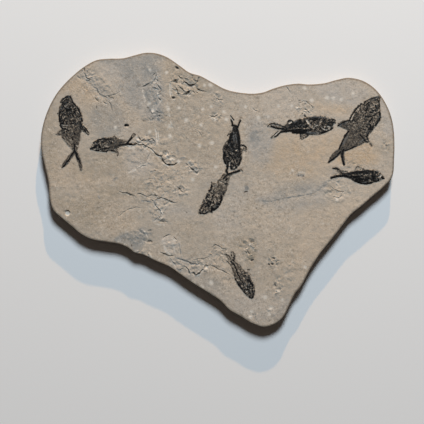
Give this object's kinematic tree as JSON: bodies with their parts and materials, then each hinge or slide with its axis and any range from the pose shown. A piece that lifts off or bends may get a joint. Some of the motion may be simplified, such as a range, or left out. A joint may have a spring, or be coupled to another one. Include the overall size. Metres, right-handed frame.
{
  "type": "fossil fish slab",
  "caption": "Heart-shaped slab of pale limestone with rounded edges and small dark fossil fish lying in its cracked, flaked face.",
  "frame": {"origin": "centre of the bounding box in plan, on the plane of the flat back that the slab rests on", "axes": "+Z out of the fossil face, +X along the slab's long side, +Y towards the edge with the hollow between the two lobes"},
  "size_m": [0.8501, 0.6605, 0.0272],
  "materials": {
    "limestone": "matte split bedding plane, buff with grey patches, ground rim",
    "fossil_bone": "dark brown to black fossil bone, faint satin sheen"
  },
  "bodies": {
    "root": {"slab": "limestone", "fish_left_large": "fossil_bone", "fish_left_small": "fossil_bone", "fish_centre_upper": "fossil_bone", "fish_centre_lower": "fossil_bone", "fish_right_middle": "fossil_bone", "fish_right_large": "fossil_bone", "fish_right_small": "fossil_bone", "fish_bottom": "fossil_bone"}
  },
  "joints": []
}
